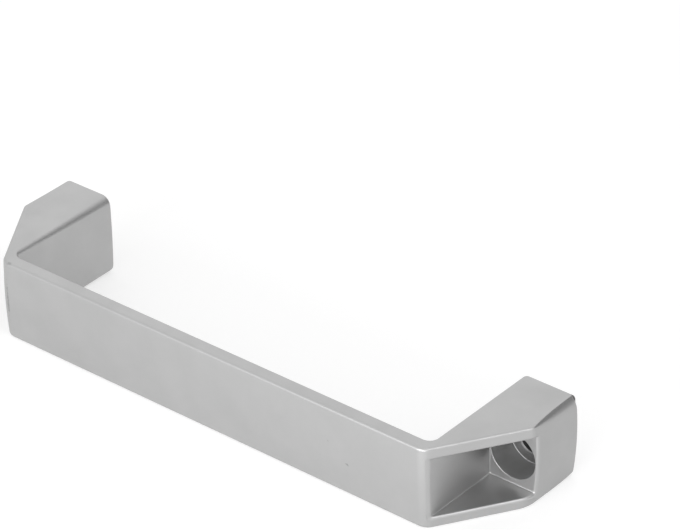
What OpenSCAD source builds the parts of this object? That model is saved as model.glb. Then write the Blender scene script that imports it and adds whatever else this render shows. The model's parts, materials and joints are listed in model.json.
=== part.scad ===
// Cast cabinet handle: a flat bar carried by two hollow corner blocks.
// X runs along the bar, the mounting face is the plane y = 0, the bar stands off it towards -Y,
// and Z is up, across the width of the handle. The origin lies midway between the fixing holes.

/* [Grip] */
// Distance between the two fixing holes
hole_distance = 180; // [100:1:320]
// Width of the handle, over its two ground side faces
width = 27; // [22:0.5:40]
// Height of the front of the bar above the mounting face
projection = 47.8; // [40:0.1:70]
// Thickness of the bar
bar_t = 4.3; // [2.5:0.1:7]

/* [Corner blocks] */
// Wall between the finger gap and the pocket
inner_wall = 1.5; // [0.8:0.1:4]
// Metal left between the counterbore and the end face
outer_wall = 1.6; // [0.6:0.1:4]
// Floor left between the counterbore and the pocket's inner wall
floor_land = 0.3; // [0.1:0.1:3]
// Wall above and below the pocket
side_wall = 3.7; // [2:0.1:6]
// Height of the end face above the mounting face
end_height = 20.2; // [14:0.1:30]
// How far the end face leans inwards over its height
end_draft = 0.4; // [0:0.1:1.5]
// How far the front corner lies inboard of the pocket
corner_inset = 0.3; // [0:0.1:3]
// Height of the pocket floor above the mounting face
floor_height = 18.4; // [12:0.1:26]

/* [Fixing holes] */
// Diameter of the counterbore for the screw head
counterbore_d = 15.6; // [11:0.1:20]
// Height of the screw seat above the mounting face
seat_height = 9.2; // [4:0.1:14]
// Diameter of the screw hole
screw_hole_d = 9; // [4.5:0.1:11]

/* [Rounding] */
// Radius of the corner between the front and the slanted face, seen from the side
front_r = 4.9; // [2:0.1:8]
// Radius of the corner between the slanted face and the end face
end_r = 6.4; // [2:0.1:10]
// Radius of the corner in the finger gap
gap_r = 4; // [1:0.1:8]
// Radius at the two ends of a mounting face
foot_r = 0.8; // [0.3:0.1:1.5]
// Radius along the edges of the side faces
edge_r = 0.8; // [0.3:0.1:1.2]
// Radius of the leg's inner edges at the mounting face
leg_edge_r = 2; // [1:0.1:3.5]
// Radius of the crowned end face, across the width
crown_r = 90; // [40:1:200]
// Radius between the crowned end face and the side faces
crown_edge_r = 2.4; // [1:0.1:4]
// How much of that radius is ground away by the flat side faces
ground_off = 0.5; // [0:0.1:0.8]
// Radius in the corners of the pocket
pocket_r = 0.8; // [0.3:0.1:2]
// Radius of the lip along the mouth of the pocket
lip_r = 0.9; // [0.3:0.1:1.5]

/* [Hidden] */
$fn = 96;
// Overshoot of the cutting shapes
over = 1;
// How far the straight edge cuts run on past the corner arcs' tangent points
lap = 0.3;
// How far a rounding is kept proud of a surface that it would only touch
skin = 0.003;
// Facets of a preview of the crown's large circle
crown_fn = 360;
half_w = width / 2;
hole_x = hole_distance / 2;
counterbore_r = counterbore_d / 2;
pocket_x = hole_x - counterbore_r - floor_land;
gap_x = pocket_x - inner_wall;
end_x = hole_x + counterbore_r + outer_wall;
gap_y = bar_t - projection;
pocket_half_h = half_w - side_wall;

// Corners of the right half's outline in the XY plane
front_mid = [0, -projection];
front_corner = [pocket_x - corner_inset, -projection];
end_corner = [end_x - end_draft, -end_height];
foot_out = [end_x, 0];
foot_in = [gap_x, 0];
gap_corner = [gap_x, gap_y];
gap_mid = [0, gap_y];

// Corner arcs: where each starts and ends, and its centre
function unit(v) = v / norm(v);
function half_angle(a, p, b) = acos(unit(a - p) * unit(b - p)) / 2;
function arc_start(a, p, b, r) = p + unit(a - p) * r / tan(half_angle(a, p, b));
function arc_end(a, p, b, r) = p + unit(b - p) * r / tan(half_angle(a, p, b));
function arc_centre(a, p, b, r) = p + unit(unit(a - p) + unit(b - p)) * r / sin(half_angle(a, p, b));
function heading(p, q) = atan2(q[1] - p[1], q[0] - p[0]);

// How far along a tangent its arc has fallen away from it by a given depth
function fall_run(r, depth) = sqrt(depth * (2 * r - depth));

front_arc = [front_mid, front_corner, end_corner];
end_arc = [front_corner, end_corner, foot_out];
gap_arc = [foot_in, gap_corner, gap_mid];
front_tangents = [arc_start(front_arc[0], front_arc[1], front_arc[2], front_r),
                  arc_end(front_arc[0], front_arc[1], front_arc[2], front_r)];
end_tangents = [arc_start(end_arc[0], end_arc[1], end_arc[2], end_r),
                arc_end(end_arc[0], end_arc[1], end_arc[2], end_r)];
gap_tangents = [arc_start(gap_arc[0], gap_arc[1], gap_arc[2], gap_r),
                arc_end(gap_arc[0], gap_arc[1], gap_arc[2], gap_r)];
slant_angle = heading(front_corner, end_corner);
end_angle = heading(end_corner, foot_out);

// What lies between a corner and its arc, with some overshoot past the corner
module corner_patch(a, p, b, r) {
    centre = arc_centre(a, p, b, r);
    difference() {
        polygon([arc_start(a, p, b, r), p + unit(p - centre) * over, arc_end(a, p, b, r), centre]);
        translate(centre) circle(r);
    }
}

// Outline of the right half, seen along the width
module half_outline() {
    difference() {
        polygon([front_mid, front_corner, end_corner, foot_out, foot_in, gap_corner, gap_mid]);
        corner_patch(front_arc[0], front_arc[1], front_arc[2], front_r);
        corner_patch(end_arc[0], end_arc[1], end_arc[2], end_r);
        corner_patch(end_corner, foot_out, foot_in, foot_r);
        corner_patch(foot_out, foot_in, gap_corner, foot_r);
    }
    corner_patch(gap_arc[0], gap_arc[1], gap_arc[2], gap_r);
}

// Section of the end in the XZ plane, with its widest point at x = 0: a crowned face and two
// rounded edges whose outermost metal has been ground away with the side faces
module end_section(length) {
    cast_half_w = half_w + ground_off;
    arc_z = cast_half_w - crown_edge_r;
    arc_x = sqrt(pow(crown_r - crown_edge_r, 2) - pow(arc_z, 2)) - crown_r;
    touch = [-crown_r, 0] + unit([arc_x + crown_r, arc_z]) * (crown_r + over);
    intersection() {
        translate([-length, -half_w]) square([length + over, width]);
        difference() {
            intersection() {
                translate([-crown_r, 0]) circle(crown_r, $fn = crown_fn);
                translate([-length, -cast_half_w]) square([length + over, 2 * cast_half_w]);
            }
            for (side = [0, 1]) mirror([0, side]) difference() {
                polygon([[arc_x, arc_z], [arc_x, cast_half_w + over], [over, cast_half_w + over], touch]);
                translate([arc_x, arc_z]) circle(crown_edge_r);
            }
        }
    }
}

// Everything inboard of the crowned end face. It leans with that face, so at the middle of the bar it
// has to reach further to pass the front
module end_envelope() {
    length = end_x;
    reach = projection + length * cos(end_angle) + 2 * over;
    translate([end_x, 0, 0]) rotate([0, 0, end_angle - 90]) translate([0, over, 0]) rotate([90, 0, 0])
        linear_extrude(reach) end_section(length);
}

// Cuts that round the two side-face edges of a straight stretch from p to q, with the metal on its
// left. They may run on past both ends, and be kept proud of the corner arcs' cuts
module line_edges(p, q, r, run_on = 0, proud = 0) {
    for (side = [0, 1]) mirror([0, 0, side])
        translate([p[0], p[1], half_w - r]) rotate([0, 0, heading(p, q)]) translate([-run_on, 0, 0])
            rotate([90, 0, 90]) linear_extrude(norm(q - p) + 2 * run_on) difference() {
                translate([-over, 0]) square(r + over);
                translate([r, 0]) circle(r + proud);
            }
}

// Cuts that round the two side-face edges of an arc with the metal inside it
module outer_arc_edges(corner, arc_r, r) {
    centre = arc_centre(corner[0], corner[1], corner[2], arc_r);
    from = heading(centre, arc_start(corner[0], corner[1], corner[2], arc_r));
    to = heading(centre, arc_end(corner[0], corner[1], corner[2], arc_r));
    for (side = [0, 1]) mirror([0, 0, side])
        translate([centre[0], centre[1], half_w - r]) rotate([0, 0, from])
            rotate_extrude(angle = to - from) difference() {
                translate([arc_r - r, 0]) square(r + over);
                translate([arc_r - r, 0]) circle(r + skin);
            }
}

// Cuts that round the two side-face edges of an arc with the metal outside it
module inner_arc_edges(corner, arc_r, r) {
    centre = arc_centre(corner[0], corner[1], corner[2], arc_r);
    from = heading(centre, arc_end(corner[0], corner[1], corner[2], arc_r));
    to = heading(centre, arc_start(corner[0], corner[1], corner[2], arc_r));
    for (side = [0, 1]) mirror([0, 0, side])
        translate([centre[0], centre[1], half_w - r]) rotate([0, 0, from - 360])
            rotate_extrude(angle = to - from + 360) difference() {
                translate([arc_r - over, 0]) square(r + over);
                translate([arc_r + r, 0]) circle(r);
            }
}

// Cuts that round a leg's two inner edges, from a wide radius at the mounting face to the narrow one
// at the gap's corner. The rounding is a cone that stands a skin proud of both faces, and its apex is
// where the radius would shrink to nothing
module leg_edges() {
    far_y = gap_tangents[0][1];
    taper = (edge_r - leg_edge_r) / far_y;
    apex_y = -leg_edge_r / taper;
    stretch = sqrt(1 + 2 * taper * taper);
    cone_length = (2 * over - apex_y) * stretch;
    cone_slope = tan(asin(taper / stretch));
    sections = [for (y = [over, far_y]) [y, taper * (y - apex_y)]];
    for (side = [0, 1]) mirror([0, 0, side]) difference() {
        polyhedron(
            [for (s = sections, corner = [[-over, over], [s[1], over], [s[1], -s[1]], [-over, -s[1]]])
                [gap_x + corner[0], s[0], half_w + corner[1]]],
            [[0, 1, 2, 3], [7, 6, 5, 4], [0, 4, 5, 1], [1, 5, 6, 2], [2, 6, 7, 3], [3, 7, 4, 0]]);
        translate([gap_x, apex_y, half_w])
            rotate([0, 0, -atan(taper)]) rotate([-90 - atan(taper * cos(atan(taper))), 0, 0])
                cylinder(h = cone_length, r1 = skin, r2 = skin + cone_length * cone_slope);
    }
}

// Hollow behind the slanted face, from the inner wall out through the end
module pocket() {
    reach_x = end_x - pocket_x + over;
    reach_y = projection - floor_height + over;
    intersection() {
        translate([pocket_x, over - floor_height, 0]) rotate([90, 0, 0])
            linear_extrude(reach_y + over) pocket_section(reach_x);
        translate([pocket_x - over, -floor_height, 0]) rotate([90, 0, 90])
            linear_extrude(reach_x + over) mirror([1, 0]) pocket_section(reach_y);
    }
}

// Half of a rounded slot that is open at its far end
module pocket_section(length) {
    difference() {
        translate([0, -pocket_half_h]) square([length, 2 * pocket_half_h]);
        for (side = [0, 1]) mirror([0, side])
            corner_patch([length, pocket_half_h], [0, pocket_half_h], [0, 0], pocket_r);
    }
}

// Rounds the two long lips of the pocket's mouth. The cuts run on past the slanted face at both ends
// until the corner arcs have fallen away from them, so that the rounding fades out
module lips() {
    front_run = fall_run(front_r, lip_r) + over;
    end_run = fall_run(end_r, lip_r) + over;
    length = front_run + norm(end_tangents[0] - front_tangents[1]) + end_run;
    for (side = [0, 1]) mirror([0, 0, side])
        translate([front_tangents[1][0], front_tangents[1][1], pocket_half_h])
            rotate([0, 0, slant_angle]) translate([-front_run, 0, 0]) rotate([90, 0, 90])
                linear_extrude(length) difference() {
                    translate([-over, -over]) square(lip_r + over);
                    translate([lip_r, lip_r]) circle(lip_r);
                }
}

// Counterbore and screw hole, square to the mounting face
module fixing_hole() {
    translate([hole_x, 0, 0]) rotate([90, 0, 0]) {
        translate([0, 0, -over]) cylinder(h = floor_height + 2 * over, d = screw_hole_d);
        translate([0, 0, seat_height]) cylinder(h = floor_height - seat_height + over, d = counterbore_d);
    }
}

module half_handle() {
    difference() {
        intersection() {
            linear_extrude(width, center = true) half_outline();
            end_envelope();
        }
        line_edges(front_mid - [over, 0], front_tangents[0], edge_r, run_on = lap, proud = 2 * skin);
        outer_arc_edges(front_arc, front_r, edge_r);
        line_edges(front_tangents[1], end_tangents[0], edge_r, run_on = lap, proud = 2 * skin);
        outer_arc_edges(end_arc, end_r, edge_r);
        leg_edges();
        inner_arc_edges(gap_arc, gap_r, edge_r);
        line_edges(gap_tangents[1], gap_mid - [over, 0], edge_r);
        pocket();
        lips();
        fixing_hole();
    }
}

module handle() {
    color("silver") for (side = [0, 1]) mirror([side, 0, 0]) half_handle();
}

handle();
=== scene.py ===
"""Cast cabinet handle: its finished surface, its satin metal and a plain studio around it."""

import json
import math

import bmesh
import bpy
import numpy as np
from bpy.props import FloatProperty, FloatVectorProperty, IntProperty, PointerProperty
from mathutils import Matrix, Vector

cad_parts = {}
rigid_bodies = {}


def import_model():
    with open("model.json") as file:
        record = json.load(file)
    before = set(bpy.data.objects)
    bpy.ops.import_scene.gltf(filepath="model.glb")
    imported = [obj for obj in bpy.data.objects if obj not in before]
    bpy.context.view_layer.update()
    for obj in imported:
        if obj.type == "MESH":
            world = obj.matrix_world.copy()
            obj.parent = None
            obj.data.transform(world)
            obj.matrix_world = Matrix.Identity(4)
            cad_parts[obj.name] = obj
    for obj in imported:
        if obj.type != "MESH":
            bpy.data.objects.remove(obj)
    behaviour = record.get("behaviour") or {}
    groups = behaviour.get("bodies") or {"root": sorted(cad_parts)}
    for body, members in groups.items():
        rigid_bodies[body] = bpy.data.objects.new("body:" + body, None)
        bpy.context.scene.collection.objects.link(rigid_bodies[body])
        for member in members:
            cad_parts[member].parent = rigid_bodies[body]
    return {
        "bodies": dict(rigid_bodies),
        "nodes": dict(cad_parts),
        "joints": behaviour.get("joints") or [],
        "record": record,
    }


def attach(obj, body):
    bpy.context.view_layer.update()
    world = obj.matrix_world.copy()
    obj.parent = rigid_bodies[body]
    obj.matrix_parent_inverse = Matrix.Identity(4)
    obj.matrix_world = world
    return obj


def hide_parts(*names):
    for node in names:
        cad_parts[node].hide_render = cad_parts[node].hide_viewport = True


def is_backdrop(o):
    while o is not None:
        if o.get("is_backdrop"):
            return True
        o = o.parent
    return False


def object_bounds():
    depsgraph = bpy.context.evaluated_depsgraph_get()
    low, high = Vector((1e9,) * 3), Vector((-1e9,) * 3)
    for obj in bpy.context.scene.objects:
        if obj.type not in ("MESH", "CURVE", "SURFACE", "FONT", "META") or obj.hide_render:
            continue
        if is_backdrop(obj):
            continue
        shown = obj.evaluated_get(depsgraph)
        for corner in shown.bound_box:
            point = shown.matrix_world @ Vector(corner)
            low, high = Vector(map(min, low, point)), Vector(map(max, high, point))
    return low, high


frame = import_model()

bl_info = {
    "name": "Cast Cabinet Handle",
    "version": (1, 0, 0),
    "blender": (4, 5, 0),
    "location": "View3D > Sidebar > Cabinet Handle",
    "description": "Builds the finished surface of a cast cabinet handle, its metal and a plain studio",
    "category": "Object",
}

CAD_LOW, CAD_HIGH = (tuple(corner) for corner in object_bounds())
MOUNTS = {mount["name"]: mount for mount in frame["record"]["mounts"]}
HOLES = MOUNTS["fixing_holes"]["dims"]
COUNTERBORE = MOUNTS["right_counterbore"]
MM = 0.001
NODE = "handle"
PIECE = "cast_handle"
WHITE = (1.0, 1.0, 1.0, 1.0)
# Points of the mesh closer together than this are one, and edges sharper than this are drawn sharp
WELD_DISTANCE = 0.002 * MM
SHARP_ANGLE = math.radians(32)
# Dark marks of the casting: middle and half sizes in millimetres, and how dark they are
MARKS = (
    ((-79.5, -47.6, 0.7), (0.45, 2.0, 7.0), 0.30),
    ((-78.4, -47.3, 13.2), (1.2, 0.8, 0.5), 0.20),
    ((53.7, -47.7, -2.9), (0.7, 2.0, 0.4), 0.30),
    ((46.9, -47.8, 2.4), (0.4, 2.0, 0.35), 0.15),
)
# How far fine noise moves the outline of a mark, in half sizes of the mark
MARK_RAGGEDNESS = 1.2
# The studio's lamps, by the name of their power's setting: place, point that they face and size
LAMPS = {
    "key": ((0.12, -0.75, 0.16), (0.05, -0.02, 0.0), (0.6, 0.3)),
    "back": ((-0.75, 0.87, 0.73), (0.0, -0.02, 0.0), (0.8, 0.8)),
    "top": ((0.72, -0.12, 0.95), (0.05, -0.02, 0.0), (0.5, 0.5)),
}
# The dark card: its centre, the point that it faces and its half size
CARD_CENTRE, CARD_TARGET, CARD_HALF = (0.45, 0.70, 0.52), (0.0, -0.02, 0.0), (0.70, 0.36)
FLOOR_HALF = 6.0
SQUARE = ((-1, -1), (1, -1), (1, 1), (-1, 1))


def length(name, default, description):
    """A size in metres that a user can change."""
    return FloatProperty(name=name, default=default, description=description, min=0.0,
                         unit="LENGTH", precision=5)


def slope(name, default, description):
    """A small lean as a rise over a run."""
    return FloatProperty(name=name, default=default, description=description, min=0.0, max=0.1, precision=3)


def count(name, default, description):
    """A number of mesh steps that a user can change."""
    return IntProperty(name=name, default=default, description=description, min=1)


def share(name, default, description):
    """A share between 0 and 1 that a user can change."""
    return FloatProperty(name=name, default=default, description=description, min=0.0, max=1.0)


def strength(name, default, description, **kind):
    """A number from 0 up that a user can change, such as the power of a lamp."""
    return FloatProperty(name=name, default=default, description=description, min=0.0, **kind)


def brightness(name, default, part):
    """How much light or shade is painted into a part of the casting, as a factor on its colour that a user
    can change.
    """
    return FloatProperty(name=name, default=default, description=f"Brightness of {part} against the outside",
                         min=0.0, max=2.0)


def color(name, default, description):
    """A linear colour that a user can change."""
    return FloatVectorProperty(name=name, default=default, description=description, size=3,
                               min=0.0, max=1.0, subtype="COLOR")


class HandleSizes(bpy.types.PropertyGroup):
    """Sizes of the casting. X runs along the bar, Y into the panel and Z across the width."""

    hole_x: length("Hole distance from the middle", HOLES["spacing_x_mm"] / 2 * MM,
                   "Distance from the middle of the handle to the axis of a fixing hole")
    projection: length("Projection", -CAD_LOW[1], "Height of the bar's front above the mounting face")
    half_width: length("Half width", CAD_HIGH[2], "Half of the width over the two side faces")
    end_x: length("Half length", CAD_HIGH[0], "Distance from the middle to the end face at its foot")
    bar_thickness: length("Bar thickness", 0.00441, "Thickness of the flat bar")
    inner_wall: length("Inner wall", 0.00172, "Wall between the finger gap and the pocket")
    floor_land: length("Floor land", 0.0003, "Floor left between the counterbore and the pocket's wall")
    side_wall: length("Side wall", 0.0037, "Wall above and below the pocket")
    end_height: length("End height", 0.02026, "Height of the end face above the mounting face")
    end_draft: length("End draft", 0.00039, "How far the end face leans inwards over its height")
    corner_inset: length("Corner inset", 0.00045, "How far the front corner lies inboard of the pocket")
    floor_height: length("Floor height", 0.0184, "Height of the pocket's floor above the mounting face")
    counterbore_radius: length("Counterbore radius", COUNTERBORE["dims"]["r_mm"] * MM,
                               "Radius of the hole for the screw's head")
    seat_height: length("Seat height",
                        -COUNTERBORE["pos_m"][1] - COUNTERBORE["dims"]["length_mm"] * MM / 2,
                        "Height of the screw's seat above the mounting face")
    hole_radius: length("Screw hole radius", HOLES["hole_r_mm"] * MM, "Radius of the screw hole")
    front_radius: length("Front radius", 0.00502, "Corner between the front and the slanted face")
    end_radius_top: length("End radius at the top", 0.00269,
                           "Corner between the slanted face and the end face, at the upper side face")
    end_radius_low: length("End radius at the bottom", 0.01087,
                           "Corner between the slanted face and the end face, at the lower side face")
    gap_radius: length("Gap radius", 0.0030, "Corner of the finger gap")
    foot_radius: length("Foot radius", 0.00091, "Rounding at the two ends of a mounting face")
    edge_radius: length("Edge radius", 0.0008, "Rounding along the outer edges of the side faces")
    gap_edge_radius: length("Gap edge radius", 0.0004, "Rounding along the edges of the finger gap")
    left_leg_edge: length("Left leg edge", 0.0028,
                          "Rounding of the left leg's inner edges at the mounting face")
    right_leg_edge: length("Right leg edge", 0.0006,
                           "Rounding of the right leg's inner edges at the mounting face")
    crown_radius: length("Crown radius", 0.100, "Radius of the crowned end face across the width")
    crown_height: length("Crown height", 0.00280, "How far above mid-width the crown stands out most")
    crown_edge_start: length("Crown edge start", 0.0005,
                             "Rounding between an end face and the top face, at the slanted face")
    left_crown_edge: length("Left crown edge", 0.0017,
                            "Rounding between the left end face and the top face, at the mounting face")
    right_crown_edge: length("Right crown edge", 0.0052,
                             "Rounding between the right end face and the top face, at the mounting face")
    ground_share: share("Ground share", 0.25, "Share of the crown edge's radius that is ground away on top")
    low_edge_radius: length("Low edge radius", 0.0020,
                            "Rounding between the end face and the lower side face, at the mounting face")
    front_belly: length("Front belly", 0.00045, "How far the front stands out at mid-width")
    slant_belly: length("Slant belly", 0.00059, "How far the slanted face stands out at mid-width")
    leg_belly: length("Leg belly", 0.00030, "How far a leg's inner face stands out at mid-width")
    front_draft: slope("Front draft", 0.014, "Lean of the front, by which the bar thins downwards")
    back_draft: slope("Back draft", 0.026, "Lean of the bar's back, by which the bar thins downwards")
    leg_draft: slope("Leg draft", 0.010, "Lean of a leg's inner face, by which the leg thins downwards")
    pocket_radius: length("Pocket radius", 0.0004, "Rounding along the pocket's two side walls")
    pocket_corner: length("Pocket corner", 0.00025, "Rounding between the pocket's inner wall and its floor")
    lip_start: length("Lip at the bar", 0.0011, "Rounding of the mouth's lip next to the bar")
    lip_side: length("Side lips", 0.0009, "Rounding of the mouth's two long lips")
    lip_end: length("Lip at the end", 0.0010, "Rounding of the mouth's lip next to the end face")
    rim_break: length("Rim break", 0.00018, "Rounding of the counterbore's rim")
    seat_fillet: length("Seat fillet", 0.0003, "Rounding at the foot of the counterbore's wall")
    hole_break: length("Hole break", 0.0004, "Bevel at both ends of the screw hole")


class HandleDetail(bpy.types.PropertyGroup):
    """How finely the casting's surface is divided."""

    flat_rows: count("Flat rows", 16, "Steps across the flat part of the pocket, an even number")
    round_rows: count("Round rows", 4, "Steps round each of the pocket's long roundings")
    edge_steps: count("Edge steps", 7, "Steps round an edge of the side faces")
    corner_steps: count("Corner steps", 10, "Steps round a corner of the outline")
    lip_steps: count("Lip steps", 6, "Steps round the lip of the pocket's mouth")
    frame_steps: count("Frame steps", 3, "Steps across the skin next to the mouth's lip")
    side_steps: count("Side steps", 3, "Steps between the mouth's frame and the side faces' edges")
    wall_steps: count("Wall steps", 8, "Steps down the pocket's inner wall")
    floor_steps: count("Floor steps", 10, "Steps along the pocket's floor")
    fillet_steps: count("Fillet steps", 4, "Steps round the pocket's corner and the counterbore's edges")
    bore_steps: count("Bore steps", 96, "Steps round a bore, a multiple of four")


class HandleMetal(bpy.types.PropertyGroup):
    """Colour and finish of the cast metal, and the light and shade painted into its colour."""

    base: color("Base colour", (0.505, 0.505, 0.505), "Colour of the bare metal")
    dull: color("Dull colour", (0.445, 0.445, 0.445), "Colour of the duller blotches")
    roughness: share("Roughness", 0.46, "Roughness of the blasted surface")
    # Painted shade: the end faces' colour is darkened, standing in for the lesser light that falls on them.
    end_painted_shade: brightness("End shade", 0.91, "the ground end faces")
    # Painted light: the pocket's colour is lightened in place of light bouncing into it.
    pocket_painted_light: brightness("Pocket shade", 1.03, "the cast skin in the pocket")
    # Painted light: the pocket's lower wall is lightened in colour further than the rest of the pocket.
    low_wall_painted_light: brightness("Lower wall shade", 1.25, "the pocket's lower wall")
    # Painted light: the counterbore's wall, inside the recess, is lightened in colour.
    bore_painted_light: brightness("Bore shade", 1.50, "the counterbore's wall")
    # Painted shade: the screw's seat at the foot of the counterbore is darkened in colour.
    seat_painted_shade: brightness("Seat shade", 0.38, "the screw's seat")
    # Painted shade: the screw hole's wall is darkened in colour, where shade falls deep inside it.
    hole_painted_shade: brightness("Hole shade", 0.30, "the screw hole")


class HandleStudio(bpy.types.PropertyGroup):
    """Camera, lamps and floor."""

    camera_place: FloatVectorProperty(
        name="Camera place", description="Where the camera stands",
        default=(0.55686, -0.64485, 0.54517), size=3, unit="LENGTH", precision=5)
    azimuth: FloatProperty(
        name="Azimuth", description="Heading of the view, from +Y towards -X",
        default=math.radians(40.184), subtype="ANGLE")
    elevation: FloatProperty(
        name="Elevation", description="How steeply the camera looks down",
        default=math.radians(31.680), subtype="ANGLE")
    roll: FloatProperty(
        name="Roll", description="Turn of the camera about its own view",
        default=math.radians(-1.146), subtype="ANGLE")
    lens: FloatProperty(name="Lens", description="Focal length on a 36 mm sensor, in millimetres",
                        default=178.72, min=1.0)
    floor_color: color("Floor colour", (0.55, 0.55, 0.55), "Colour of the pale floor")
    floor_glow: strength("Floor glow", 0.53, "How much whiter the floor is seen than it is lit")
    sky: strength("Sky", 0.75, "Strength of the even studio light")
    key: strength("Key lamp", 3.4, "Power of the low lamp in front of the right-hand end", subtype="POWER")
    top: strength("Top lamp", 1.8, "Power of the lamp above the right-hand end", subtype="POWER")
    back: strength("Back lamp", 0.40, "Power of the lamp behind the left-hand end", subtype="POWER")
    card_color: color("Card colour", (0.25, 0.25, 0.25), "Colour of the dark card behind the right-hand end")


# Positions along the outline, as indexes of the stretches of the path below
FRONT_ARC, SLANT, END_ARC, END_FACE, FOOT_OUT, MOUNT, FOOT_IN, LEG, GAP_ARC, BAR_BACK = range(1, 11)


def drop(z, radius, flat_half):
    """How far a quarter circle of that radius falls back at height z; it starts at flat_half."""
    over = np.clip(np.abs(z) - flat_half, 0.0, radius)
    return radius - np.sqrt(radius ** 2 - over ** 2)


class Casting:
    """Half of the handle's skin, as a function of outline length a and height z.

    The outline runs along six straight lines joined by arcs: front, slanted face, end face,
    mounting face, leg and the bar's back. At height z each line lies inwards of its place at
    mid-height: by the quarter circle of the side faces' edge, by its belly and its draft, and the
    end face by the crown's circle. The corners are where the shifted lines meet, and their arcs
    keep touching them. The side is 1 for the right half and -1 for the left one.
    """

    def __init__(self, sizes, side):
        s = self.sizes = sizes
        self.leg_edge = s.right_leg_edge if side > 0 else s.left_leg_edge
        self.crown_edge = s.right_crown_edge if side > 0 else s.left_crown_edge
        self.pocket_x = s.hole_x - s.counterbore_radius - s.floor_land
        self.pocket_half = s.half_width - s.side_wall
        gap_x = self.pocket_x - s.inner_wall
        gap_y = s.bar_thickness - s.projection
        self.corners = np.array([
            (0.0, -s.projection),
            (self.pocket_x - s.corner_inset, -s.projection),
            (s.end_x - s.end_draft, -s.end_height),
            (s.end_x, 0.0),
            (gap_x, 0.0),
            (gap_x, gap_y),
            (0.0, gap_y),
        ])
        along = np.diff(self.corners, axis=0)
        self.directions = along / np.hypot(*along.T)[:, None]
        self.headings = np.unwrap(np.arctan2(along[:, 1], along[:, 0]))
        self.turns = np.diff(self.headings)
        self.normals = np.stack([np.sin(self.headings), -np.cos(self.headings)], axis=-1)
        starts = [self.stretch(i, np.zeros(1), np.zeros(1))[0] for i in range(11)]
        starts.append(self.corners[-1])
        chords = np.hypot(*np.diff(starts, axis=0).T)
        bent = np.abs(self.turns) / 2
        chords[1::2] *= bent / np.sin(bent)
        self.ends = np.concatenate([[0.0], np.cumsum(chords)])

    def shifts(self, z):
        """How far each line of the outline lies inwards at height z: by its edge, belly and draft."""
        s = self.sizes
        edge = drop(z, s.edge_radius, s.half_width - s.edge_radius)
        gap_edge = drop(z, s.gap_edge_radius, s.half_width - s.gap_edge_radius)
        off_middle = (z / s.half_width) ** 2
        crown = s.crown_radius - np.sqrt(s.crown_radius ** 2 - (z - s.crown_height) ** 2)
        return [
            edge + s.front_belly * off_middle - s.front_draft * z,
            edge + s.slant_belly * off_middle,
            edge + crown,
            0 * z,
            gap_edge + s.leg_belly * off_middle - s.leg_draft * z,
            gap_edge - s.back_draft * z,
        ]

    def corner(self, j, z):
        """Where lines j - 1 and j meet at height z; the first and the last lie at the middle."""
        shifts = self.shifts(z)
        if j in (0, 6):
            return self.corners[j] - self.normals[min(j, 5)] * shifts[min(j, 5)][..., None]
        solve = np.linalg.inv(self.normals[j - 1:j + 1])
        return self.corners[j] - np.stack(shifts[j - 1:j + 1], axis=-1) @ solve.T

    def radius(self, j, z):
        """Radius of the arc at corner j. The end's arc widens downwards by equal shares of itself."""
        s, shifts = self.sizes, self.shifts(z)
        between = (shifts[j - 1] + shifts[j]) / 2
        up = (1 + z / s.half_width) / 2
        end_radius = s.end_radius_low * (s.end_radius_top / s.end_radius_low) ** up
        return [None, s.front_radius - between, end_radius, s.foot_radius + 0 * z,
                s.foot_radius + 0 * z, s.gap_radius + between][j]

    def cut(self, j, z):
        """How much the arc at corner j takes off both lines."""
        if j in (0, 6):
            return 0 * z
        return self.radius(j, z) * math.tan(abs(self.turns[j - 1]) / 2)

    def stretch(self, i, t, z):
        """Points at share t of stretch i: line i / 2 for an even i, else the arc after it."""
        j = i // 2
        direction = self.directions[j]
        end = self.corner(j + 1, z) - direction * self.cut(j + 1, z)[..., None]
        if i % 2 == 0:
            start = self.corner(j, z) + direction * self.cut(j, z)[..., None]
            return start + (end - start) * t[..., None]
        first, last = self.headings[j], self.headings[j] + self.turns[j] * t
        bend = math.copysign(1.0, self.turns[j]) * self.radius(j + 1, z)[..., None]
        turned = np.stack([np.sin(last) - math.sin(first), math.cos(first) - np.cos(last)], axis=-1)
        return end + bend * turned

    def extra(self, a, z):
        """Further shift of the end face and the leg, whose edges grow rounder to the mounting face.

        The radius grows evenly along the end face, and faster through the gap's corner than along
        the leg. That of the end face's lower edge grows with the fourth power of the way. A share
        of the upper edge's radius is ground away with the top.
        """
        s = self.sizes
        way_at = {END_FACE: 0.0, FOOT_OUT: 1.0, FOOT_IN: 1.0, GAP_ARC: 0.4, BAR_BACK: 0.0}
        way = np.interp(a, [self.ends[i] for i in way_at], list(way_at.values()))
        leg, upper = a > self.ends[MOUNT], (a <= self.ends[MOUNT]) & (z > 0)
        edge = np.where(leg, s.gap_edge_radius, s.edge_radius)
        start = np.interp(a, [self.ends[END_ARC], self.ends[END_FACE]], [s.edge_radius, s.crown_edge_start])
        start = np.where(upper, start, edge)
        full = np.where(leg, self.leg_edge, np.where(upper, self.crown_edge, s.low_edge_radius))
        radius = start + (full - start) * np.where(leg | upper, way, way ** 4)
        off = np.where(upper, s.ground_share * radius * way, 0.0)
        return drop(z, radius, s.half_width + off - radius) - drop(z, edge, s.half_width - edge)

    def skin(self, a, z):
        """Points of the skin at outline lengths a and heights z."""
        a, z = np.broadcast_arrays(np.asarray(a, float), np.asarray(z, float))
        stretch = np.clip(np.searchsorted(self.ends, a, side="right") - 1, 0, 10)
        t = (a - self.ends[stretch]) / np.diff(self.ends)[stretch]
        flat = np.zeros(a.shape + (2,))
        for i in range(11):
            here = stretch == i
            if here.any():
                flat[here] = self.stretch(i, t[here], z[here])
        line = np.where(stretch <= FOOT_OUT, 2, 4)
        shift = np.where((stretch == MOUNT) | (stretch < END_ARC), 0.0, self.extra(a, z))
        flat -= self.normals[line] * shift[..., None]
        return np.concatenate([flat, z[..., None]], axis=-1)

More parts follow.
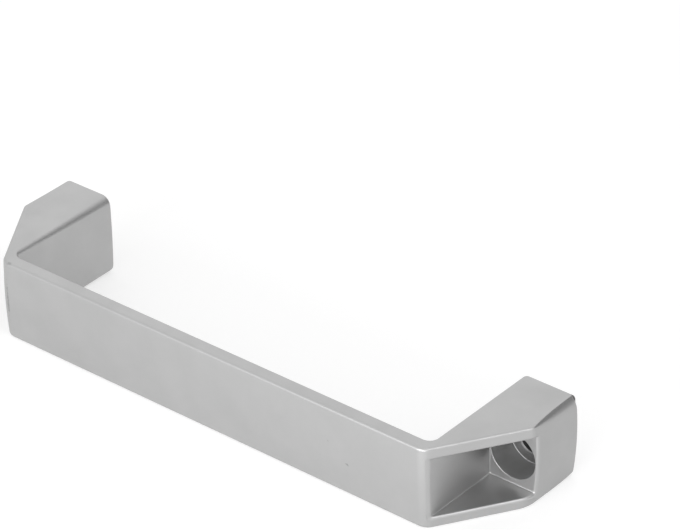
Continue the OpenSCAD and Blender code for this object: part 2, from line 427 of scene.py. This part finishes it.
    def length_at(self, axis, values, heights, first, last):
        """Outline lengths at which the skin's x (axis 0) or y (axis 1) has a value at a height."""
        samples = 2001
        a = np.linspace(self.ends[first], self.ends[last], samples)
        return np.array([np.interp(v, self.skin(a, z)[:, axis], a) for v, z in zip(values, heights)])


def grid_faces(rows, columns, keep=None):
    """Quads of a grid of points laid out row by row; keep is a mask of its cells."""
    index = np.arange(rows * columns).reshape(rows, columns)
    quads = np.stack([index[:-1, :-1], index[:-1, 1:], index[1:, 1:], index[1:, :-1]], axis=-1)
    if keep is not None:
        quads = quads[keep]
    return quads.reshape(-1, 4).tolist()


class Shell:
    """Gathers patches of points and faces, to be welded into one closed mesh.

    The side is 1 for the right half, and -1 for the left one, whose patches are turned over the
    plane x = 0. Each point has a shade, the painted light or shade by which the metal's colour is multiplied
    there.
    """

    def __init__(self):
        self.points, self.shades, self.faces, self.total, self.side = [], [], [], 0, 1

    def add(self, points, faces, shade):
        self.points.append(points.reshape(-1, 3) * (self.side, 1.0, 1.0))
        self.shades.append(np.broadcast_to(shade, points.shape[:-1]).ravel())
        self.faces += [[i + self.total for i in face[::self.side]] for face in faces]
        self.total += len(self.points[-1])

    def grid(self, points, keep=None, shade=1.0):
        """A patch whose points lie on a grid of two parameters."""
        self.add(points, grid_faces(*points.shape[:2], keep), shade)

    def plate(self, *edges, shade=1.0):
        """One flat face inside a loop of edges, each an array of points."""
        loop = np.concatenate(edges)
        step = np.linalg.norm(loop - np.roll(loop, 1, axis=0), axis=1)
        loop = loop[step > 1e-9]
        self.add(loop, [list(range(len(loop)))], shade)


def quarter(steps):
    """Angles from 0 to a quarter turn."""
    return np.linspace(0.0, math.pi / 2, steps + 1)


def blend(start, end, steps):
    """Rows of points from one curve to another, in equal steps."""
    t = np.linspace(0.0, 1.0, steps + 1).reshape(-1, *([1] * np.ndim(start)))
    return start + (end - start) * t


def rounded_corner(outer, corner, inner, steps):
    """Rows of points on circular arcs that touch corner-outer and corner-inner at their far ends.

    The arc is the rational quadratic ((1 - t)^2 O + 2 w t (1 - t) K + t^2 I) / ((1 - t)^2
    + 2 w t (1 - t) + t^2), with w the sine of half the angle at K.
    """
    to_outer, to_inner = outer - corner, inner - corner
    cosine = np.sum(to_outer * to_inner, axis=-1)
    cosine /= np.linalg.norm(to_outer, axis=-1) * np.linalg.norm(to_inner, axis=-1)
    weight = np.sqrt((1 - cosine) / 2)[None, :, None]
    t = np.linspace(0.0, 1.0, steps + 1)[:, None, None]
    parts = (1 - t) ** 2, 2 * weight * t * (1 - t), t ** 2
    return (parts[0] * outer + parts[1] * corner + parts[2] * inner) / sum(parts)


def join_sides(start, top, end, bottom):
    """One closed loop from the four sides of a frame, which meet at its corners."""
    return np.concatenate([start, top[1:], end[::-1][1:], bottom[::-1][1:]])


class Block:
    """The corner block of one half: where its skin is divided, its pocket and its fixing hole."""

    # Skin between the mouth's lips and the frame round them
    margin = 0.35 * MM
    # Least radius of the corner between the pocket's wall and floor, and least floor next to it
    least_corner = 0.05 * MM
    # Shares of the mouth's length over which its side lips run into the two other lips
    lip_runs = 0.08, 0.15

    def __init__(self, casting, detail, metal):
        self.casting, self.detail, self.metal, s = casting, detail, metal, casting.sizes
        self.rows = detail.flat_rows + 2 * detail.round_rows
        turn = quarter(detail.round_rows)
        flat = casting.pocket_half - s.pocket_radius
        middle = np.linspace(-flat, flat, detail.flat_rows + 1)
        top = flat + s.pocket_radius * np.sin(turn[1:])
        self.row_z = np.concatenate([-top[::-1], middle, top])
        rise = s.pocket_radius * (1 - np.cos(turn[1:]))
        self.row_inset = np.concatenate([rise[::-1], np.zeros(len(middle)), rise])
        self.row_turn = np.concatenate([-turn[:0:-1], np.zeros(len(middle)), turn[1:]])
        self.corner_radius = self.wall_corner()
        self.frame_half = (casting.pocket_half + s.lip_side + s.half_width - s.edge_radius) / 2
        self.start, self.end = self.mouth_sides()
        self.first = self.start[0, 0] - s.lip_start - self.margin
        self.last = self.end[:, 0].max() + s.lip_end + self.margin
        self.stations = self.outline_stations()
        close = 1e-6 * MM
        inside = (self.stations >= self.first - close) & (self.stations <= self.last + close)
        self.mouth_stations = self.stations[inside]

    def wall_corner(self):
        """Radius of the corner between wall and floor in each row, less where the counterbore is near."""
        s = self.casting.sizes
        reach = s.counterbore_radius + s.rim_break
        chord = np.sqrt(np.clip(reach ** 2 - self.row_z ** 2, 0.0, None))
        room = s.hole_x - chord - self.casting.pocket_x
        return np.clip(room - self.least_corner, self.least_corner, s.pocket_corner)

    def mouth_sides(self):
        """Outline length and height of the mouth's edge, row by row, at the bar's side and the end's."""
        c, s, z = self.casting, self.casting.sizes, self.row_z
        start = c.length_at(0, c.pocket_x + self.row_inset, z, FRONT_ARC, END_ARC)
        end = c.length_at(1, -s.floor_height - self.row_inset, z, END_ARC, FOOT_OUT)
        return np.stack([start, z], axis=-1), np.stack([end, z], axis=-1)

    def outline_stations(self):
        """Outline lengths at which the skin is divided, with the mouth's margins among them."""
        ends, n = self.casting.ends, self.detail.corner_steps
        stops = [
            (ends[0], 2), (ends[FRONT_ARC], n // 2), (self.first, n // 2), (ends[SLANT], n),
            (ends[END_ARC], n), (ends[END_FACE], 4), (self.last, n), (ends[FOOT_OUT], n // 2),
            (ends[MOUNT], 1), (ends[FOOT_IN], n // 2), (ends[LEG], n), (ends[GAP_ARC], n),
            (ends[BAR_BACK], 2),
        ]
        stretches = [np.linspace(a, b, steps, endpoint=False)
                     for (a, steps), (b, _) in zip(stops, stops[1:])]
        stretches.append(np.linspace(stops[-1][0], ends[-1], stops[-1][1] + 1))
        return np.concatenate(stretches)

    def levels(self):
        """Heights of the skin's rows: even rows behind the mouth's frame, then on and round the edges."""
        s = self.casting.sizes
        straight = s.half_width - s.edge_radius
        frame = np.linspace(-self.frame_half, self.frame_half, self.rows + 1)
        step = np.linspace(self.frame_half, straight, self.detail.side_steps + 1)[1:]
        arc = straight + s.edge_radius * np.sin(quarter(self.detail.edge_steps)[1:])
        top = np.concatenate([step, arc])
        return np.concatenate([-top[::-1], frame, top])

    def skin_shade(self, a, z):
        """Painted shade of the skin at outline lengths a and heights z, by which the end faces are darker.
        """
        ends = self.casting.ends
        shade = np.interp(a, [ends[END_ARC], ends[END_FACE], ends[FOOT_OUT], ends[MOUNT]],
                          [1.0, self.metal.end_painted_shade, self.metal.end_painted_shade, 1.0])
        return np.where(np.abs(z) < self.casting.sizes.half_width, shade, 1.0)

    def pocket_painted_light(self, z):
        """Painted light in the pocket at heights z, with more of it on the lower wall."""
        on_wall = z < 0.001 * MM - self.casting.pocket_half
        return np.where(on_wall, self.metal.low_wall_painted_light, self.metal.pocket_painted_light)

    def add_skin(self, shell):
        """The outside of the half handle, without the mouth's frame and the mounting face."""
        c, a, z = self.casting, self.stations, self.levels()[:, None]
        points = c.skin(a[None, :], z)
        keep = np.ones((points.shape[0] - 1, points.shape[1] - 1), bool)
        mid = (a[:-1] + a[1:]) / 2
        low = (len(points) - 1 - self.rows) // 2
        keep[low:low + self.rows, (mid > self.first) & (mid < self.last)] = False
        keep[:, (mid > c.ends[MOUNT]) & (mid < c.ends[FOOT_IN])] = False
        shell.grid(points, keep, self.skin_shade(a, z))
        for row in (points[0], points[-1]):
            shell.plate(row)
        foot_out = points[:, np.argmin(np.abs(a - c.ends[MOUNT]))]
        foot_in = points[:, np.argmin(np.abs(a - c.ends[FOOT_IN]))]
        return foot_out, foot_in

    def add_mouth(self, shell):
        """The frame round the mouth and its lip; returns the lip's inner edge, side by side."""
        c, s, a = self.casting, self.casting.sizes, self.mouth_stations
        z = np.linspace(-self.frame_half, self.frame_half, self.rows + 1)
        edge = np.stack([a, np.full_like(a, self.frame_half)], axis=-1)
        frame_loop = join_sides(
            np.stack([np.full_like(z, self.first), z], axis=-1), edge,
            np.stack([np.full_like(z, self.last), z], axis=-1), edge * (1.0, -1.0))
        t = (a - a[0]) / (a[-1] - a[0])
        bottom, top = (self.start[i] + (self.end[i] - self.start[i]) * t[:, None] for i in (0, -1))
        corner_loop = join_sides(self.start, top, self.end, bottom)

        run_start, run_end = self.lip_runs
        lip = np.interp(t, [0.0, run_start, 1.0 - run_end, 1.0],
                        [s.lip_start, s.lip_side, s.lip_side, s.lip_end])
        cosine, sine = np.cos(self.row_turn), np.sin(self.row_turn)
        start_lip = s.lip_start * np.stack([-cosine, sine], axis=-1)
        end_lip = s.lip_end * np.stack([cosine, sine], axis=-1)
        top_lip = np.stack([np.zeros_like(lip), lip], axis=-1)
        outer_loop = corner_loop + join_sides(start_lip, top_lip, end_lip, top_lip * (1.0, -1.0))

        slant = c.headings[1] + math.pi / 2
        heading = np.interp(t, [0.0, run_end, 1.0 - run_end, 1.0], [math.pi / 2, slant, slant, math.pi])
        into = np.stack([lip * np.cos(heading), lip * np.sin(heading), 0 * lip], axis=-1)
        ones = np.ones(self.rows + 1)[:, None]
        inward = join_sides(ones * (0.0, s.lip_start, 0.0), into, ones * (-s.lip_end, 0.0, 0.0), into)

        corner = c.skin(*corner_loop.T)
        inner = corner + inward
        frame = np.moveaxis(blend(frame_loop, outer_loop, self.detail.frame_steps), -1, 0)
        shell.grid(c.skin(*frame), shade=self.skin_shade(*frame))
        steps = self.detail.lip_steps
        # The lip's painted light and shade run from the skin's to the pocket's.
        shades = blend(self.skin_shade(*outer_loop.T), self.pocket_painted_light(corner_loop[:, 1]), steps)
        shell.grid(rounded_corner(c.skin(*outer_loop.T), corner, inner, steps), shade=shades)
        rows, columns = self.rows, len(a) - 1
        marks = np.cumsum([0, rows, columns, rows, columns])
        closed = np.concatenate([inner, inner[:1]])
        sides = [closed[marks[i]:marks[i + 1] + 1] for i in range(4)]
        return sides[0], sides[1], sides[2][::-1], sides[3][::-1]

    def add_pocket(self, shell, start, top, end, bottom):
        """The pocket's inner wall, corner and floor, row by row, and its two flat side walls."""
        s = self.casting.sizes
        rise = self.row_inset
        reach = np.maximum(self.corner_radius, rise)
        radius = (reach - rise)[:, None]
        centre = np.stack([self.casting.pocket_x + reach, -s.floor_height - reach], axis=-1)
        turn = math.pi - quarter(self.detail.fillet_steps)
        corner = centre[:, None] + radius[..., None] * np.stack([np.cos(turn), np.sin(turn)], axis=-1)
        z = np.broadcast_to(self.row_z[:, None], corner.shape[:2])
        corner = np.concatenate([corner, z[..., None]], axis=-1)
        wall = np.moveaxis(blend(start, corner[:, 0], self.detail.wall_steps), 0, 1)
        floor = np.moveaxis(blend(corner[:, -1], end, self.detail.floor_steps), 0, 1)
        points = np.concatenate([wall, corner[:, 1:], floor[:, 1:]], axis=1)
        floor_start = wall.shape[1] + corner.shape[1] - 2
        keep = np.ones((points.shape[0] - 1, points.shape[1] - 1), bool)
        low, high = self.detail.round_rows, self.detail.round_rows + self.detail.flat_rows
        keep[low:high, floor_start:] = False
        shell.grid(points, keep, self.pocket_painted_light(points[..., 2]))
        for side, row in ((top, points[-1]), (bottom, points[0])):
            shell.plate(side, row[::-1], shade=self.pocket_painted_light(row[0, 2]))
        return points[low:high + 1, floor_start:]

    def add_fixing_hole(self, shell, floor, foot_out, foot_in):
        """Counterbore, seat and hole as a profile turned about the screw's axis, with both faces."""
        s, metal, n = self.casting.sizes, self.metal, self.detail.fillet_steps
        turn = quarter(n)
        rim, fillet = s.rim_break, s.seat_fillet
        rim_arc = np.stack([s.counterbore_radius + rim * (1 - np.sin(turn)),
                            -s.floor_height + rim * (1 - np.cos(turn))], axis=-1)
        seat_arc = np.stack([s.counterbore_radius - fillet * (1 - np.cos(turn)),
                             -s.seat_height - fillet * (1 - np.sin(turn))], axis=-1)
        depth = s.hole_break - s.seat_height
        hole = [(s.hole_radius + s.hole_break, -s.seat_height), (s.hole_radius, depth),
                (s.hole_radius, depth + 0.1 * MM), (s.hole_radius, -s.hole_break),
                (s.hole_radius + s.hole_break, 0.0)]
        profile = np.concatenate([rim_arc, seat_arc, hole])
        # Painted light and shade round the bore: the wall lightened, the seat darkened, its fillet and the
        # hole's bevel at twice the seat's brightness, the hole darkest.
        edge_painted_shade = 2 * metal.seat_painted_shade
        shades = ([metal.pocket_painted_light] * n + [metal.bore_painted_light] * 2 + [edge_painted_shade] * (n - 1)
                  + [metal.seat_painted_shade] * 2 + [edge_painted_shade] + [metal.hole_painted_shade] * 2 + [1.0])
        angle = np.linspace(0.0, 2 * math.pi, self.detail.bore_steps + 1)
        radius, depth = profile[:, 0, None], profile[:, 1, None]
        points = np.stack([s.hole_x + radius * np.cos(angle), depth + 0 * angle, radius * np.sin(angle)],
                          axis=-1)
        shell.grid(points, shade=np.array(shades)[:, None])
        half = self.detail.bore_steps // 2
        middle = floor.shape[0] // 2
        self.add_ring_plates(shell, points[0], half,
                             np.concatenate([floor[middle:, -1], floor[-1, ::-1], floor[middle:, 0][::-1]]),
                             np.concatenate([floor[middle::-1, -1], floor[0, ::-1], floor[:middle + 1, 0]]),
                             metal.pocket_painted_light)
        middle = foot_out.shape[0] // 2
        self.add_ring_plates(shell, points[-1], half,
                             np.concatenate([foot_out[middle:], foot_in[middle:][::-1]]),
                             np.concatenate([foot_out[middle::-1], foot_in[:middle + 1]]), 1.0)

    def add_ring_plates(self, shell, circle, half, above, below, shade):
        """A flat face round a circle, as one plate above the middle and one below it.

        Both outer edges run from the end's side to the bar's side, and the circle starts at the end's.
        """
        shell.plate(above, circle[half::-1], shade=shade)
        shell.plate(below, circle[half:], shade=shade)


def make_mesh(name, shell):
    """A mesh object from a shell's patches, welded, closed and facing outwards."""
    mesh = bpy.data.meshes.new(name)
    mesh.from_pydata(np.concatenate(shell.points).tolist(), [], shell.faces)
    shades = mesh.attributes.new("shade", "FLOAT", "POINT")
    shades.data.foreach_set("value", np.concatenate(shell.shades).astype(np.float32))
    work = bmesh.new()
    work.from_mesh(mesh)
    bmesh.ops.remove_doubles(work, verts=work.verts, dist=WELD_DISTANCE)
    bmesh.ops.dissolve_degenerate(work, dist=1e-7, edges=work.edges)
    bmesh.ops.recalc_face_normals(work, faces=work.faces)
    open_edges = [edge for edge in work.edges if not edge.is_manifold]
    if open_edges:
        places = [tuple(round(v / MM, 2) for v in edge.verts[0].co) for edge in open_edges[:12]]
        raise RuntimeError(f"{len(open_edges)} edges of {name} aren't closed, in mm: {places}")
    if work.calc_volume(signed=True) < 0:
        bmesh.ops.reverse_faces(work, faces=work.faces)
    work.to_mesh(mesh)
    work.free()
    mesh.polygons.foreach_set("use_smooth", np.ones(len(mesh.polygons), bool))
    mesh.set_sharp_from_angle(angle=SHARP_ANGLE)
    piece = bpy.data.objects.new(name, mesh)
    bpy.context.scene.collection.objects.link(piece)
    return piece


def set_inputs(tree, node, inputs):
    """Gives some inputs of a node their values, or links them where a value is another node's output."""
    for name, value in inputs.items():
        if isinstance(value, bpy.types.NodeSocket):
            tree.links.new(value, node.inputs[name])
        else:
            node.inputs[name].default_value = value


def add_node(tree, kind, inputs=None, **settings):
    """A new shader node with some of its settings and inputs given."""
    node = tree.nodes.new("ShaderNode" + kind)
    for name, value in settings.items():
        setattr(node, name, value)
    set_inputs(tree, node, inputs or {})
    return node


def new_material(name):
    """A material with the usual shader, with its node tree and that shader."""
    material = bpy.data.materials.new(name)
    material.use_nodes = True
    return material, material.node_tree, material.node_tree.nodes["Principled BSDF"]


def metal_material(metal):
    """Satin cast metal: faint duller blotches, a fine blasted grain, a soft, uneven gloss and painted light
    and shade.
    """
    material, tree, shader = new_material("satin_cast_metal")
    place = add_node(tree, "TexCoord").outputs["Object"]
    blotches = add_node(tree, "TexNoise", {"Vector": place, "Scale": 90.0, "Detail": 4.0}).outputs["Fac"]
    mix = add_node(tree, "Mix", {"A": (*metal.base, 1.0), "B": (*metal.dull, 1.0), "Factor": blotches},
                   data_type="RGBA")
    marked = add_marks(tree, place, mix.outputs["Result"])
    # The shade attribute multiplies the colour by painted light and painted shade.
    shade = add_node(tree, "Attribute", attribute_name="shade").outputs["Fac"]
    shaded = add_node(tree, "VectorMath", {"Vector": marked, "Scale": shade}, operation="SCALE")
    unevenness = 0.05
    gloss = add_node(tree, "MapRange", {"Value": blotches, "To Min": metal.roughness - unevenness,
                                        "To Max": metal.roughness + unevenness})
    grain = add_node(tree, "TexNoise", {"Vector": place, "Scale": 2600.0, "Detail": 2.0}).outputs["Fac"]
    bump = add_node(tree, "Bump", {"Height": grain, "Strength": 0.25, "Distance": 0.04 * MM})
    set_inputs(tree, shader, {"Metallic": 1.0, "Base Color": shaded.outputs["Vector"],
                              "Roughness": gloss.outputs["Result"], "Normal": bump.outputs["Normal"]})
    return material


def add_marks(tree, place, color):
    """The colour darkened inside each mark, an ellipsoid whose outline fine noise makes ragged."""
    noise = add_node(tree, "TexNoise", {"Vector": place, "Scale": 1400.0}).outputs["Color"]
    ragged = add_node(tree, "VectorMath", {0: noise, 1: (2 * MARK_RAGGEDNESS,) * 3,
                                           2: (-MARK_RAGGEDNESS,) * 3}, operation="MULTIPLY_ADD")
    for middle, half, darkness in MARKS:
        spot = add_node(tree, "Mapping", {"Vector": place, "Location": Vector(middle) * MM,
                                          "Scale": Vector(half) * MM}, vector_type="TEXTURE")
        moved = add_node(tree, "VectorMath", {0: spot.outputs["Vector"], 1: ragged.outputs["Vector"]},
                         operation="ADD")
        reach = add_node(tree, "VectorMath", {0: moved.outputs["Vector"]}, operation="LENGTH")
        fade = add_node(tree, "MapRange", {"Value": reach.outputs["Value"], "From Min": 0.5,
                                           "To Min": 1.0 - darkness})
        color = add_node(tree, "VectorMath", {"Vector": color, "Scale": fade.outputs["Result"]},
                         operation="SCALE").outputs["Vector"]
    return color


def floor_material(studio):
    """A pale matt floor that keeps soft shadows and that cameras and metal see as white elsewhere."""
    material, tree, shader = new_material("pale_floor")
    glow = add_node(tree, "Math", {0: seen_directly(tree), 1: studio.floor_glow}, operation="MULTIPLY")
    set_inputs(tree, shader, {"Base Color": (*studio.floor_color, 1.0), "Roughness": 0.9,
                              "Specular IOR Level": 0.0, "Emission Color": WHITE,
                              "Emission Strength": glow.outputs[0]})
    return material


def card_material(studio):
    """A plain dark matt card."""
    material, tree, shader = new_material("dark_card")
    set_inputs(tree, shader, {"Base Color": (*studio.card_color, 1.0), "Roughness": 0.9})
    return material


def seen_directly(tree):
    """1 for a ray from the camera, a mirror-like one or one through glass, and 0 for the others."""
    rays = add_node(tree, "LightPath").outputs
    seen = rays["Is Camera Ray"]
    for name in ("Is Glossy Ray", "Is Transmission Ray"):
        seen = add_node(tree, "Math", {0: seen, 1: rays[name]}, operation="MAXIMUM").outputs[0]
    return seen


def flat_sheet(name, corners, material):
    """A flat object with four corners."""
    mesh = bpy.data.meshes.new(name)
    mesh.from_pydata(corners, [], [(0, 1, 2, 3)])
    mesh.materials.append(material)
    sheet = bpy.data.objects.new(name, mesh)
    bpy.context.scene.collection.objects.link(sheet)
    return sheet


def area_lamp(name, place, target, size, energy):
    """A rectangular soft light that faces a target point."""
    light = bpy.data.lights.new(name, "AREA")
    light.shape = "RECTANGLE"
    light.size, light.size_y = size
    light.energy = energy
    lamp = bpy.data.objects.new(name, light)
    bpy.context.scene.collection.objects.link(lamp)
    lamp.location = place
    lamp.rotation_euler = (Vector(target) - Vector(place)).to_track_quat("-Z", "Y").to_euler()
    return lamp


class OBJECT_OT_cast_handle(bpy.types.Operator):
    """Builds the handle's finished surface in place of its plain solid"""

    bl_idname = "object.cast_handle"
    bl_label = "Cast Handle"

    def execute(self, context):
        scene, shell = context.scene, Shell()
        for shell.side in (1, -1):
            casting = Casting(scene.handle_sizes, shell.side)
            block = Block(casting, scene.handle_detail, scene.handle_metal)
            foot_out, foot_in = block.add_skin(shell)
            floor = block.add_pocket(shell, *block.add_mouth(shell))
            block.add_fixing_hole(shell, floor, foot_out, foot_in)
        piece = make_mesh(PIECE, shell)
        smooth = piece.modifiers.new("flat_faces_stay_flat", "WEIGHTED_NORMAL")
        smooth.weight = 80
        smooth.keep_sharp = True
        piece.data.materials.append(metal_material(scene.handle_metal))
        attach(piece, "root")
        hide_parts(NODE)
        return {"FINISHED"}


class OBJECT_OT_handle_studio(bpy.types.Operator):
    """Sets up the camera, the soft lamps and the pale floor"""

    bl_idname = "object.handle_studio"
    bl_label = "Studio"

    def execute(self, context):
        studio = context.scene.handle_studio
        self.add_camera(context, studio)
        self.add_floor(studio)
        self.add_card(studio)
        self.add_light(context, studio)
        context.scene.view_settings.view_transform = "Standard"
        return {"FINISHED"}

    def add_camera(self, context, studio):
        """A camera that looks along the azimuth and elevation, turned by the roll."""
        data = bpy.data.cameras.new("camera")
        data.sensor_width = 36.0
        data.lens = studio.lens
        data.clip_start, data.clip_end = 0.01, 10.0
        camera = bpy.data.objects.new("camera", data)
        context.scene.collection.objects.link(camera)
        turn = Matrix.Rotation(studio.azimuth, 4, "Z")
        tilt = Matrix.Rotation(math.pi / 2 - studio.elevation, 4, "X")
        roll = Matrix.Rotation(studio.roll, 4, "Z")
        camera.matrix_world = Matrix.Translation(studio.camera_place) @ turn @ tilt @ roll
        context.scene.camera = camera

    def add_floor(self, studio):
        """A large square under the handle."""
        corners = [(x * FLOOR_HALF, y * FLOOR_HALF, CAD_LOW[2]) for x, y in SQUARE]
        floor = flat_sheet("floor", corners, floor_material(studio))
        floor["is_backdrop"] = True

    def add_card(self, studio):
        """A dark card that only reflections see, behind the right-hand end."""
        centre = Vector(CARD_CENTRE)
        facing = (Vector(CARD_TARGET) - centre).to_track_quat("Z", "Y").to_matrix()
        half_x, half_y = CARD_HALF
        corners = [tuple(centre + facing @ Vector((x * half_x, y * half_y, 0.0))) for x, y in SQUARE]
        card = flat_sheet("dark_card", corners, card_material(studio))
        card.visible_camera = card.visible_diffuse = card.visible_shadow = card.visible_transmission = False
        card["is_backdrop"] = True

    def add_light(self, context, studio):
        """An even white sky and three soft lamps."""
        world = context.scene.world or bpy.data.worlds.new("studio")
        context.scene.world = world
        world.use_nodes = True
        tree = world.node_tree
        tree.nodes.clear()
        sky, white = (add_node(tree, "Background", {"Color": WHITE, "Strength": power}).outputs[0]
                      for power in (studio.sky, 1.0))
        mix = add_node(tree, "MixShader", {0: seen_directly(tree), 1: sky, 2: white})
        add_node(tree, "OutputWorld", {"Surface": mix.outputs[0]})
        for name, (place, target, size) in LAMPS.items():
            area_lamp(name + "_lamp", place, target, size, getattr(studio, name))


class VIEW3D_PT_cabinet_handle(bpy.types.Panel):
    """Buttons and sizes of the cabinet handle"""

    bl_label = "Cabinet Handle"
    bl_space_type = "VIEW_3D"
    bl_region_type = "UI"
    bl_category = "Cabinet Handle"

    def draw(self, context):
        layout = self.layout
        layout.operator(OBJECT_OT_cast_handle.bl_idname)
        layout.operator(OBJECT_OT_handle_studio.bl_idname)
        for group in GROUPS:
            box = layout.box()
            for name in GROUPS[group].__annotations__:
                box.prop(getattr(context.scene, group), name)


GROUPS = {
    "handle_sizes": HandleSizes,
    "handle_detail": HandleDetail,
    "handle_metal": HandleMetal,
    "handle_studio": HandleStudio,
}
OPERATORS = (OBJECT_OT_cast_handle, OBJECT_OT_handle_studio)


def register():
    """Registers the settings, the operators and the panel."""
    for name, group in GROUPS.items():
        bpy.utils.register_class(group)
        setattr(bpy.types.Scene, name, PointerProperty(type=group))
    for operator in OPERATORS:
        bpy.utils.register_class(operator)
    bpy.utils.register_class(VIEW3D_PT_cabinet_handle)


def unregister():
    """Removes what register added."""
    bpy.utils.unregister_class(VIEW3D_PT_cabinet_handle)
    for operator in reversed(OPERATORS):
        bpy.utils.unregister_class(operator)
    for name, group in reversed(GROUPS.items()):
        delattr(bpy.types.Scene, name)
        bpy.utils.unregister_class(group)


def main():
    register()
    bpy.ops.object.cast_handle()
    bpy.ops.object.handle_studio()


if __name__ == "__main__":
    main()
